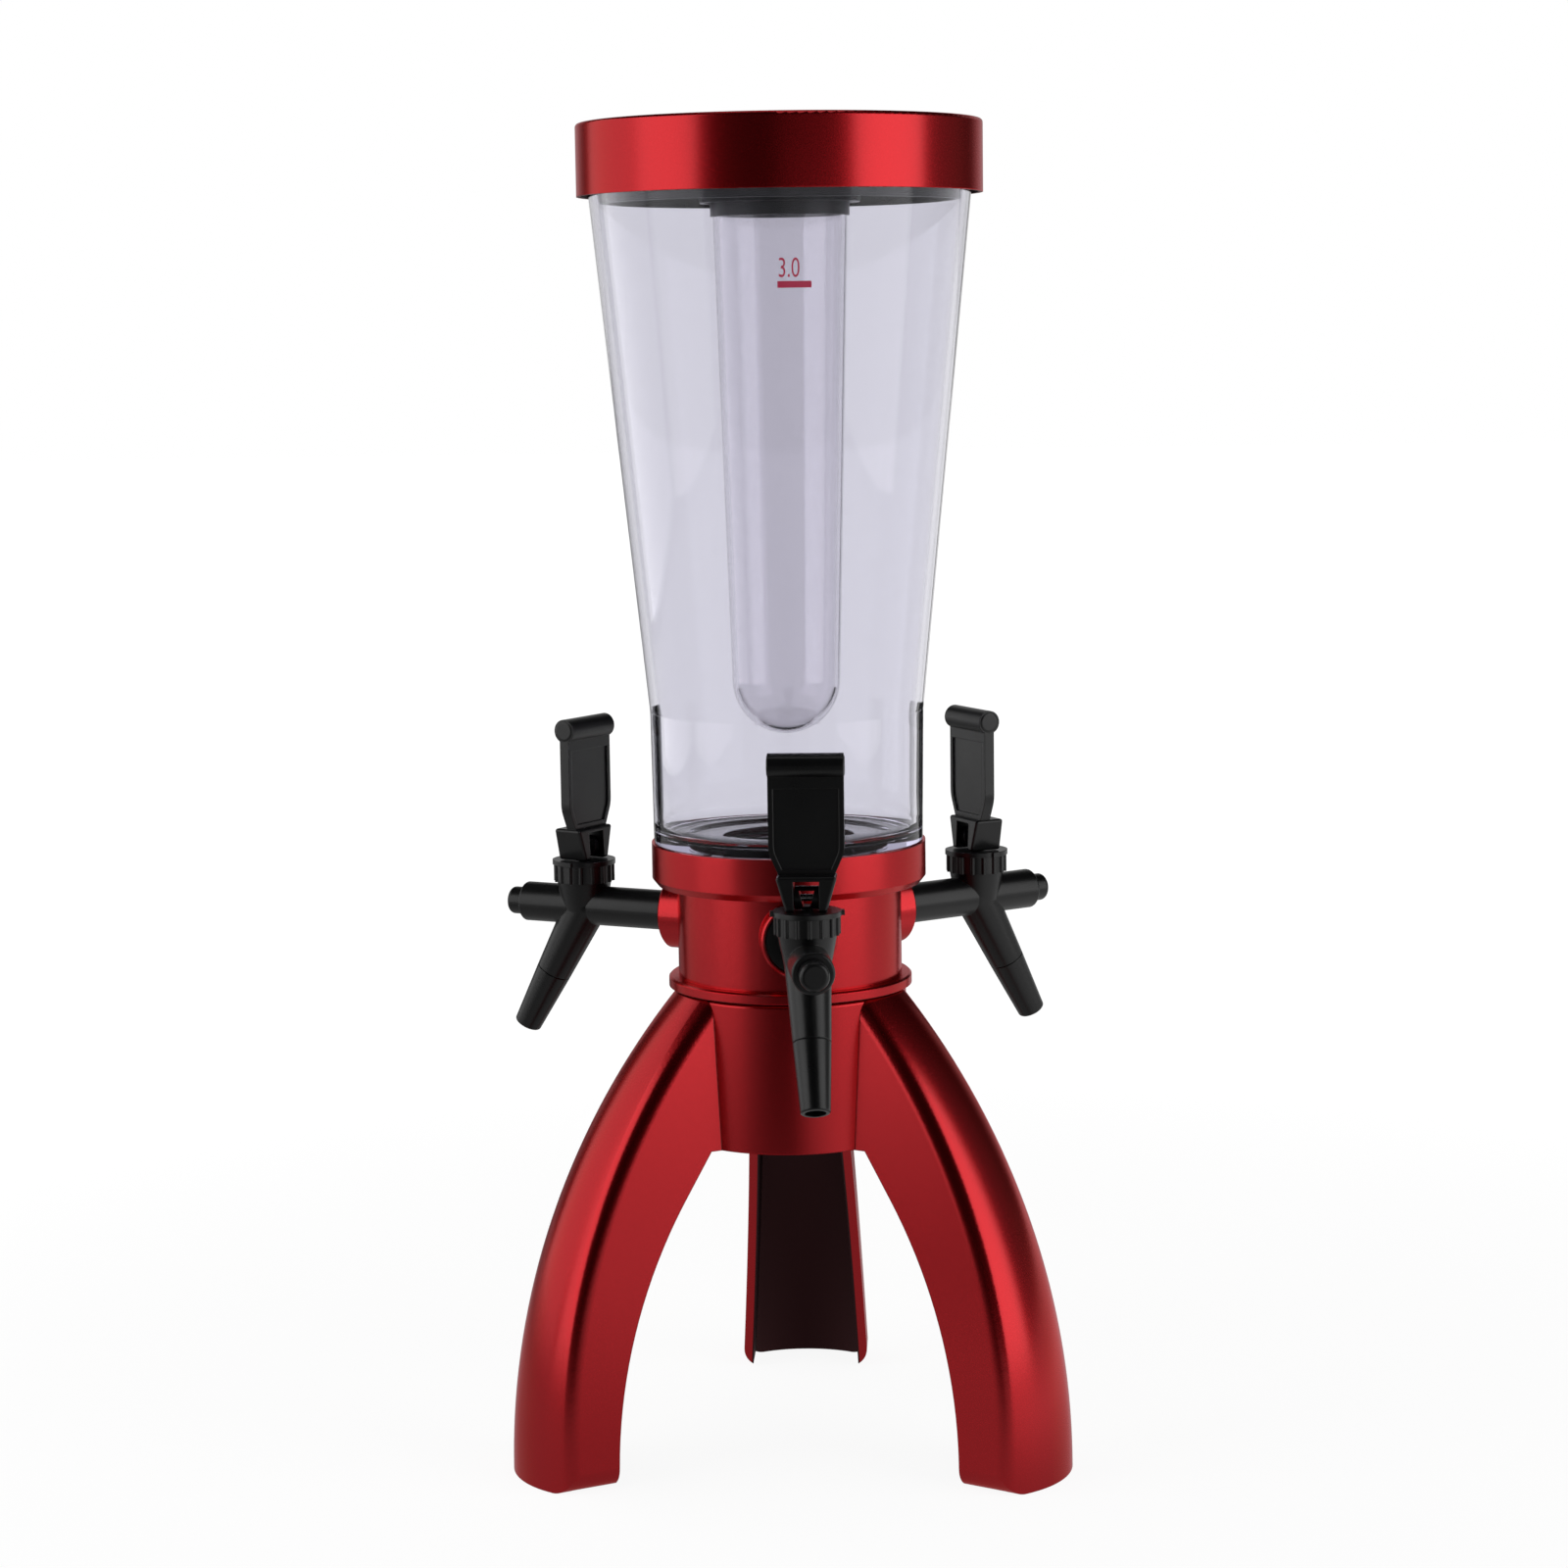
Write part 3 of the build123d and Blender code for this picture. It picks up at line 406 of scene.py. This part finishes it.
def shell_paint(settings, name, shaded):
    """Satin metallic paint: fine flake, a faint orange peel and soft cloudiness.

    The third argument takes the shader and gives 1 on the walls that face inward. Those walls get
    painted shade: a near-black, matt colour in place of the metallic paint.
    """
    material, shader = new_material(name)
    shade_share = shaded(shader)
    clouds = shader.noise(9.0, 3.0)
    flake = shader.noise(2600.0, 1.0)
    share = (clouds * 0.5 + (flake - 0.5) * 0.9 + 0.1).clamped()
    colour = shader.blend_colours(share, settings.paint_shade, settings.paint_colour)
    # Painted shade: the inward-facing walls take a near-black, matt colour and lose the metal and
    # the coat.
    colour = shader.blend_colours(shade_share, colour, settings.hollow_shade_colour)
    peel = shader.noise(420.0, 2.0)
    metal_paint_share = 1.0 - shade_share
    surface = principled(
        shader,
        Base_Color=colour,
        Metallic=metal_paint_share * 0.975,
        Roughness=0.26 + shade_share * 0.29 + (clouds - 0.5) * 0.05 + (flake - 0.5) * 0.06,
        Specular_Tint=(1.0, 0.3, 0.33, 1.0),
        Coat_Weight=metal_paint_share * 0.4,
        Coat_Roughness=0.2,
        Normal=shader.bumped(peel + flake * 0.3, 0.00003, 0.35, 0.0007),
    )
    shader.finish(surface)
    return material


def moulded_black(settings):
    """Black moulded plastic with a fine spark-eroded grain and a little rubbed sheen."""
    material, shader = new_material("moulded_black")
    grain = shader.noise(1900.0, 3.0, 0.6)
    rubbed = shader.noise(38.0, 3.0)
    tone = (rubbed * 0.6 + grain * 0.4).clamped()
    lighter = tuple(channel * 2.1 for channel in settings.fitting_colour)
    colour = shader.blend_colours(tone, settings.fitting_colour, lighter)
    surface = principled(
        shader,
        Base_Color=colour,
        Roughness=0.31 + (rubbed - 0.5) * 0.16 + (grain - 0.5) * 0.08,
        Specular_IOR_Level=0.35,
        Normal=shader.bumped(grain, 0.00004, 0.3, 0.0005),
    )
    shader.finish(surface)
    return material


def clear_plastic(name, tint, mirror, haze):
    """Clear moulded plastic that lets the lamps through to what stands inside it.

    mirror dims its reflections, and haze dims light that runs far inside its walls.
    """
    material, shader = new_material(name)
    flow = shader.noise(14.0, 2.0, 0.4, (1.0, 1.0, 0.25))
    wall = principled(
        shader,
        Base_Color=(*tint, 1.0),
        Roughness=0.02,
        IOR=1.49,
        Specular_Tint=(mirror, mirror, mirror, 1.0),
        Transmission_Weight=1.0,
        Normal=shader.bumped(flow, 0.00035, 0.12, 0.0006),
    )
    passing = shader.node("ShaderNodeBsdfTransparent", None, {"Color": (0.9, 0.9, 0.93, 1.0)})
    rays = shader.node("ShaderNodeLightPath")
    mixed = shader.node("ShaderNodeMixShader")
    shader.feed(mixed.inputs[0], rays.outputs["Is Shadow Ray"])
    shader.feed(mixed.inputs[1], wall)
    shader.feed(mixed.inputs[2], passing.outputs[0])
    absorption = {"Color": (0.78, 0.77, 0.84, 1.0), "Density": haze}
    inner = shader.node("ShaderNodeVolumeAbsorption", None, absorption)
    shader.finish(mixed.outputs[0], inner.outputs[0])
    return material


def soft_rubber():
    material, shader = new_material("soft_rubber")
    bloom = shader.noise(120.0, 4.0)
    colour = shader.blend_colours(bloom, (0.008, 0.008, 0.008), (0.022, 0.022, 0.022))
    surface = principled(
        shader,
        Base_Color=colour,
        Roughness=0.7 + (bloom - 0.5) * 0.2,
        Normal=shader.bumped(bloom, 0.00005, 0.4, 0.0003),
    )
    shader.finish(surface)
    return material


def plain_steel():
    material, shader = new_material("plain_steel")
    drawn = shader.noise(900.0, 2.0, 0.5, (1.0, 1.0, 0.08))
    colour = shader.blend_colours(drawn, (0.46, 0.46, 0.47), (0.66, 0.66, 0.67))
    surface = principled(
        shader,
        Base_Color=colour,
        Metallic=1.0,
        Roughness=0.26 + (drawn - 0.5) * 0.14,
        Normal=shader.bumped(drawn, 0.00002, 0.3, 0.0002),
    )
    shader.finish(surface)
    return material


def printed_ink(settings):
    material, shader = new_material("printed_ink")
    screen = shader.noise(1500.0, 2.0)
    dark = tuple(channel * 0.8 for channel in settings.mark_colour)
    colour = shader.blend_colours(screen, dark, settings.mark_colour)
    surface = principled(shader, Base_Color=colour, Roughness=0.45 + (screen - 0.5) * 0.2)
    shader.finish(surface)
    return material


class DressRedShells(Operator):
    """Paint the lid, collar, neck, hub and legs"""

    bl_idname = "beer_tower.dress_red_shells"
    bl_label = "Painted shells"

    def execute(self, context):
        finish = context.scene.beer_tower_finish
        paint = shell_paint(finish, "shell_paint", inside_shell)
        dress(["lid_shell", "collar", "neck", "hub"], paint)
        for leg in LEG_NAMES:
            low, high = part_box(f"leg_{leg}")
            azimuth = math.atan2(low.y + high.y, low.x + high.x)
            paint = shell_paint(
                finish,
                f"leg_paint_{leg}",
                lambda shader: inside_leg(shader, azimuth),
            )
            dress([f"leg_{leg}"], paint)
        return {"FINISHED"}


class DressBlackFittings(Operator):
    """Give the taps, levers, cup and lid fittings their black moulded finish"""

    bl_idname = "beer_tower.dress_black_fittings"
    bl_label = "Black fittings"

    def execute(self, context):
        black = moulded_black(context.scene.beer_tower_finish)
        dress(["reservoir_cup", "lid_plug", "tube_ring", "slip_ring"], black)
        moulded = ("tap_body", "shank_nut", "nose_plug", "spout_tip", "bonnet", "stem", "lever")
        dress(per_tap(*moulded), black)
        return {"FINISHED"}


class DressClearPieces(Operator):
    """Make the container and the ice tube clear"""

    bl_idname = "beer_tower.dress_clear_pieces"
    bl_label = "Clear pieces"

    def execute(self, context):
        finish = context.scene.beer_tower_finish
        clear = clear_plastic(
            "clear_container", finish.container_tint, CONTAINER_MIRROR, CONTAINER_HAZE
        )
        dress(["container"], clear)
        clear = clear_plastic("clear_tube", finish.tube_tint, TUBE_MIRROR, TUBE_HAZE)
        dress(["ice_tube"], clear)
        return {"FINISHED"}


class DressSealsAndSteel(Operator):
    """Finish the rubber seals and washers, the screws, springs and pins"""

    bl_idname = "beer_tower.dress_seals_and_steel"
    bl_label = "Seals and steel"

    def execute(self, context):
        rubber = soft_rubber()
        dress(["cup_gasket", "lid_seal"], rubber)
        dress(per_tap("port_washer", "bonnet_seal", "valve_plug"), rubber)
        steel = plain_steel()
        dress(["leg_screws", "collar_screws", "pivot_bolt", "pivot_nut"], steel)
        dress(per_tap("valve_spring", "lever_pin"), steel)
        return {"FINISHED"}


class SeatSprings(Operator):
    """Put a copy of each closing spring on the tower in place of its hidden node"""

    bl_idname = "beer_tower.seat_springs"
    bl_label = "Closing springs"

    def execute(self, context):
        slides = [joint for joint in frame["joints"] if joint["type"] == "slide"]
        travel = {joint["name"]: joint["range_m"][1] for joint in slides}
        for tap in TAP_NAMES:
            node, lift = f"valve_spring_{tap}", f"valve_lift_{tap}"
            low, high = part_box(node)
            piece = bpy.data.objects.new(f"closing_spring_{tap}", NODES[node].data.copy())
            context.scene.collection.objects.link(piece)
            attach(piece, "tower")
            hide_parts(node)
            keep = 1.0 - travel[lift] / (high.z - low.z)
            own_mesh(piece)
        return {"FINISHED"}


# ---- Level mark -------------------------------------------------------------------------------
def wall_radius(height):
    """Outer radius of the container's flared wall at a height, from its rim down."""
    low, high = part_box("container")
    rim = (high.x - low.x) / 2
    return rim - CONTAINER_TAPER * (high.z - height)


def onto_wall(obj, proud):
    """Wrap a flat drawing, x across and y up in metres, round the container's wall."""
    for vertex in obj.data.vertices:
        across, up, out = vertex.co
        radius = wall_radius(up) + proud + out
        angle = FRONT_AZIMUTH + across / wall_radius(up)
        vertex.co = (radius * math.cos(angle), radius * math.sin(angle), up)


class PrintLevelMark(Operator):
    """Print the level bar and its plain number on the container"""

    bl_idname = "beer_tower.print_level_mark"
    bl_label = "Level mark"

    def execute(self, context):
        sizes = context.scene.beer_tower_mark
        ink = printed_ink(context.scene.beer_tower_finish)
        self.print_on_wall(context, "level_bar", self.bar_mesh(sizes), ink)
        self.print_on_wall(context, "level_number", self.number_mesh(context, sizes), ink)
        return {"FINISHED"}

    def bar_mesh(self, sizes):
        """The bar, flat, with its middle at x = 0."""
        bar = bmesh.new()
        bmesh.ops.create_grid(bar, x_segments=24, y_segments=2, size=0.5)
        for vertex in bar.verts:
            vertex.co.x *= sizes.bar_width
            vertex.co.y = sizes.bar_height + vertex.co.y * sizes.bar_depth
        mesh = bpy.data.meshes.new("level_bar")
        bar.to_mesh(mesh)
        bar.free()
        return mesh

    def number_mesh(self, context, sizes):
        """The number, flat, over the bar's left part."""
        words = bpy.data.curves.new("level_number", "FONT")
        words.body = sizes.digits
        words.offset = STROKE_OFFSET
        words.size = 1.0
        words.resolution_u = 6
        text = bpy.data.objects.new("level_text", words)
        context.scene.collection.objects.link(text)
        context.view_layer.update()
        evaluated = text.evaluated_get(context.evaluated_depsgraph_get())
        drawn = bpy.data.meshes.new_from_object(evaluated)
        bpy.data.objects.remove(text)
        base = min(v.co.y for v in drawn.vertices)
        left = min(v.co.x for v in drawn.vertices)
        tall = max(v.co.y for v in drawn.vertices) - base
        wide = max(v.co.x for v in drawn.vertices) - left
        half = sizes.bar_width / 2
        for vertex in drawn.vertices:
            vertex.co.x = (vertex.co.x - left) / wide * sizes.digits_width + NUMBER_INSET - half
            vertex.co.y = (vertex.co.y - base) * sizes.digit_height / tall
            vertex.co.y += sizes.bar_height + sizes.bar_depth / 2 + NUMBER_LIFT
        return drawn

    def print_on_wall(self, context, name, mesh, ink):
        piece = bpy.data.objects.new(name, mesh)
        context.scene.collection.objects.link(piece)
        onto_wall(piece, INK_PROUD)
        piece.data.materials.clear()
        piece.data.materials.append(ink)
        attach(piece, "tower")


# ---- Stage ------------------------------------------------------------------------------------
CAMERA_TURN = math.radians(2.7)
CAMERA_DISTANCE = 1.5737
CAMERA_HEIGHT = 0.51395
CAMERA_PITCH = 0.1324
CAMERA_ROLL = -0.0141
CAMERA_YAW = -0.0011
FOCAL_PIXELS = 3570.36  # the focal length, in pixels of the frame
FRAME_PIXELS = 1600
SENSOR_WIDTH = 36.0  # millimetres
CAMERA_LENS = FOCAL_PIXELS / FRAME_PIXELS * SENSOR_WIDTH

# Name, place and size of each lamp. Its power is the stage setting of the same name.
LAMPS = (
    ("left_light", (-1.59, -0.84, 0.8), (1.32, 1.6)),
    ("left_rear_light", (-1.73, 0.5, 0.8), (1.6, 1.6)),
    ("right_light", (1.63, -0.72, 0.8), (1.5, 1.6)),
    ("top_light", (0.0, 0.2, 2.4), (1.4, 1.4)),
)
LAMP_AIM = (0.0, 0.0, 0.32)


def place_camera(scene):
    """A long lens near the lid's height, looking slightly down, a little right of the front."""
    data = bpy.data.cameras.new("camera")
    data.lens = CAMERA_LENS
    data.sensor_width = SENSOR_WIDTH
    data.clip_start = 0.01
    data.clip_end = 200.0
    camera = bpy.data.objects.new("camera", data)
    scene.collection.objects.link(camera)
    stand = Matrix.Translation((0.0, -CAMERA_DISTANCE, CAMERA_HEIGHT))
    look = (
        Matrix.Rotation(-CAMERA_YAW, 4, "Z")
        @ Matrix.Rotation(math.pi / 2 - CAMERA_PITCH, 4, "X")
        @ Matrix.Rotation(CAMERA_ROLL, 4, "Z")
    )
    camera.matrix_world = Matrix.Rotation(CAMERA_TURN, 4, "Z") @ stand @ look
    scene.camera = camera


def area_light(scene, name, place, size, power):
    """A rectangular lamp that faces the tower's middle."""
    data = bpy.data.lights.new(name, "AREA")
    data.shape = "RECTANGLE"
    data.size, data.size_y = size
    data.energy = power
    lamp = bpy.data.objects.new(name, data)
    scene.collection.objects.link(lamp)
    lamp.location = place
    facing = Vector(LAMP_AIM) - Vector(place)
    lamp.rotation_euler = facing.to_track_quat("-Z", "Y").to_euler()


def directly_seen(shader, rays):
    """1 on what the camera sees, straight or through the clear pieces."""
    straight = shader.value(rays, "Is Camera Ray")
    return (straight + shader.value(rays, "Is Transmission Ray")).clamped()


def studio_world(scene):
    """White where it is seen or shows in glass, and a darker front for the paint to mirror."""
    back_glow, side_glow, front_glow, fill = 0.5, 0.15, 0.01, 0.22
    world = bpy.data.worlds.new("studio")
    scene.world = world
    shader = Shader(world)
    rays = shader.node("ShaderNodeLightPath")
    seen = directly_seen(shader, rays)
    direction = shader.node("ShaderNodeTexCoord").outputs["Generated"]
    parts = shader.node("ShaderNodeSeparateXYZ", None, {"Vector": direction})
    behind = shader.value(parts, "Y").between(0.72, 0.95)
    glossy = shader.value(rays, "Is Glossy Ray")
    aside = shader.value(parts, "X").between(0.6, 0.95)
    mirrored = behind * back_glow + aside * side_glow + front_glow
    unseen = glossy * mirrored + (1.0 - glossy) * fill
    strength = seen + (1.0 - seen) * unseen
    sky = shader.node("ShaderNodeBackground", None, {"Color": WHITE, "Strength": strength})
    target = shader.node("ShaderNodeOutputWorld")
    shader.feed(target.inputs["Surface"], sky.outputs[0])


def pale_floor(scene, reach):
    """Near white where it is seen, with its own glow for the paint to mirror."""
    near_white, far_white, white_strength = 0.86, 0.14, 1.06
    right_glow, near_glow = 0.62, 0.4
    side_tone, middle_tone = 0.7, 0.14
    mesh = bpy.data.meshes.new("floor")
    corners = [(-reach, -reach, 0), (reach, -reach, 0), (reach, reach, 0), (-reach, reach, 0)]
    mesh.from_pydata(corners, [], [(0, 1, 2, 3)])
    floor = bpy.data.objects.new("floor", mesh)
    scene.collection.objects.link(floor)
    material, shader = new_material("pale_floor")
    rays = shader.node("ShaderNodeLightPath")
    where = {"Vector": shader.place()}
    length = shader.node("ShaderNodeVectorMath", {"operation": "LENGTH"}, where)
    far = shader.value(length, "Value").between(0.3, 1.4)
    seen = directly_seen(shader, rays)
    aside, _, _ = shader.plan("Object")
    near = 1.0 - shader.value(length, "Value").between(0.25, 0.75)
    glow = aside.between(0.02, 0.45) * right_glow + near * near_glow
    glow = glow * shader.value(rays, "Is Glossy Ray") * (1.0 - seen)
    share = seen * (near_white + far * far_white) + glow
    lit = aside.math("ABSOLUTE", aside).between(0.2, 0.9) * side_tone + middle_tone
    pale = (seen + lit * (1.0 - seen)).clamped()
    tone = shader.blend_colours(pale, (0.0, 0.0, 0.0), (0.86, 0.86, 0.86))
    matt = principled(shader, Base_Color=tone, Roughness=0.8)
    glowing = {"Color": WHITE, "Strength": white_strength}
    white = shader.node("ShaderNodeEmission", None, glowing)
    mixed = shader.node("ShaderNodeMixShader")
    shader.feed(mixed.inputs[0], share)
    shader.feed(mixed.inputs[1], matt)
    shader.feed(mixed.inputs[2], white.outputs[0])
    shader.finish(mixed.outputs[0])
    mesh.materials.append(material)


class SetStage(Operator):
    """Set the pale floor, the soft lights and the camera"""

    bl_idname = "beer_tower.set_stage"
    bl_label = "Stage"

    def execute(self, context):
        scene = context.scene
        sizes = scene.beer_tower_stage
        scene.view_settings.view_transform = "Standard"
        place_camera(scene)
        studio_world(scene)
        pale_floor(scene, sizes.floor_reach)
        for name, place, size in LAMPS:
            area_light(scene, name, place, size, getattr(sizes, name))
        return {"FINISHED"}


class BeerTowerPanel(Panel):
    """Sidebar panel that lists the beer tower's steps"""

    bl_idname = "VIEW3D_PT_beer_tower"
    bl_label = "Beer Tower"
    bl_space_type = "VIEW_3D"
    bl_region_type = "UI"
    bl_category = "Beer Tower"

    def draw(self, context):
        for group in ("beer_tower_finish", "beer_tower_mark", "beer_tower_stage"):
            settings = getattr(context.scene, group)
            box = self.layout.box()
            for name in settings.bl_rna.properties.keys():
                if name not in ("rna_type", "name"):
                    box.prop(settings, name)
        for step in STEPS:
            self.layout.operator(step.bl_idname)


STEPS = (
    DressRedShells,
    DressBlackFittings,
    DressClearPieces,
    DressSealsAndSteel,
    SeatSprings,
    PrintLevelMark,
    SetStage,
)
CLASSES = (FinishSettings, MarkSettings, StageSettings, *STEPS, BeerTowerPanel)
GROUPS = {
    "beer_tower_finish": FinishSettings,
    "beer_tower_mark": MarkSettings,
    "beer_tower_stage": StageSettings,
}


def register():
    for made in CLASSES:
        bpy.utils.register_class(made)
    for name, group in GROUPS.items():
        setattr(bpy.types.Scene, name, PointerProperty(type=group))


def unregister():
    for name in GROUPS:
        delattr(bpy.types.Scene, name)
    for made in reversed(CLASSES):
        bpy.utils.unregister_class(made)


def main():
    register()
    for step in STEPS:
        group, action = step.bl_idname.split(".")
        getattr(getattr(bpy.ops, group), action)()


if __name__ == "__main__":
    main()
